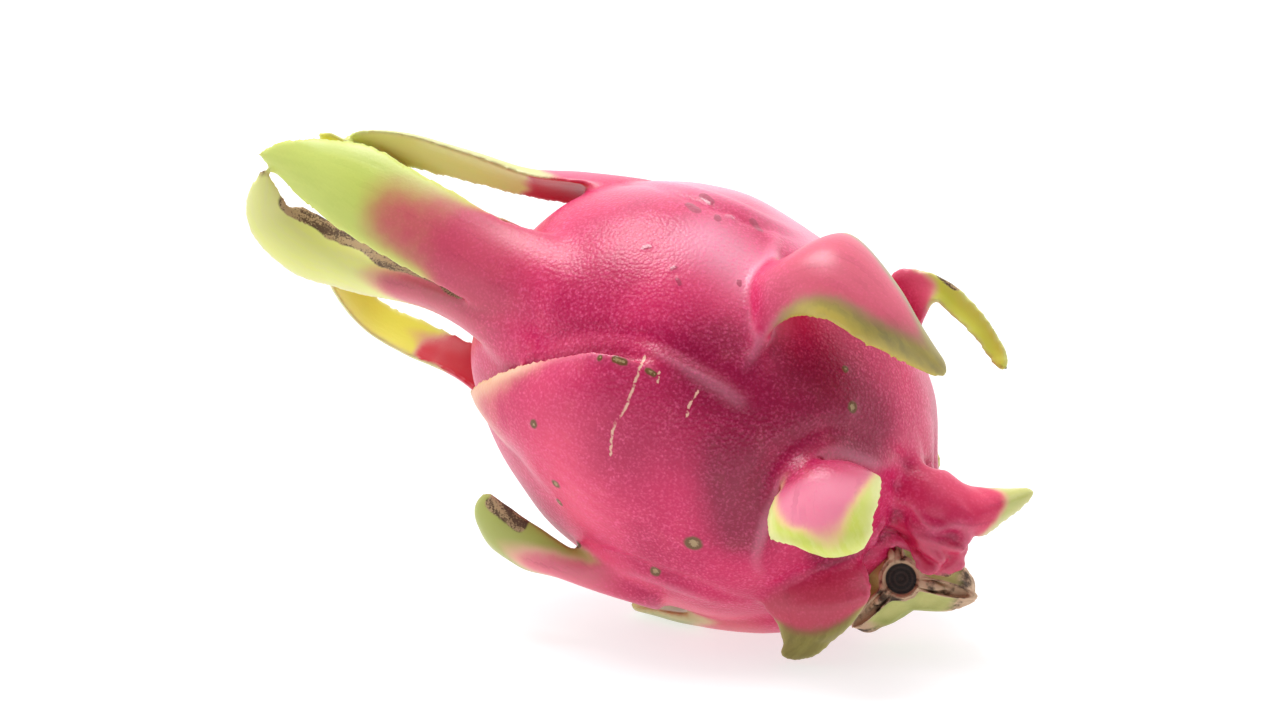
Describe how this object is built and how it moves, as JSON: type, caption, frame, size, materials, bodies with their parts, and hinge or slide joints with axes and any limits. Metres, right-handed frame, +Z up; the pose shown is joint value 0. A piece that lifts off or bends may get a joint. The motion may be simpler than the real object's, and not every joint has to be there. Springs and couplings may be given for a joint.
{
  "type": "dragon fruit",
  "caption": "Whole fresh dragon fruit with long leafy crown scales, lying on its side with the cut piece of its branch still on the stem end.",
  "frame": {"origin": "on the floor, within the flat spot that the fruit rests on", "axes": "+Z up; the fruit's own axis lies in the XZ plane, its stem end towards +X and its crown towards -X and raised"},
  "size_m": [0.1839, 0.1052, 0.1104],
  "materials": {
    "peel": "waxy satin peel, pink to yellow-green at the tips of the scales",
    "stem": "dull corky cut faces and green skin"
  },
  "bodies": {
    "root": {"fruit": "peel", "stem_stub": "stem"}
  },
  "joints": []
}
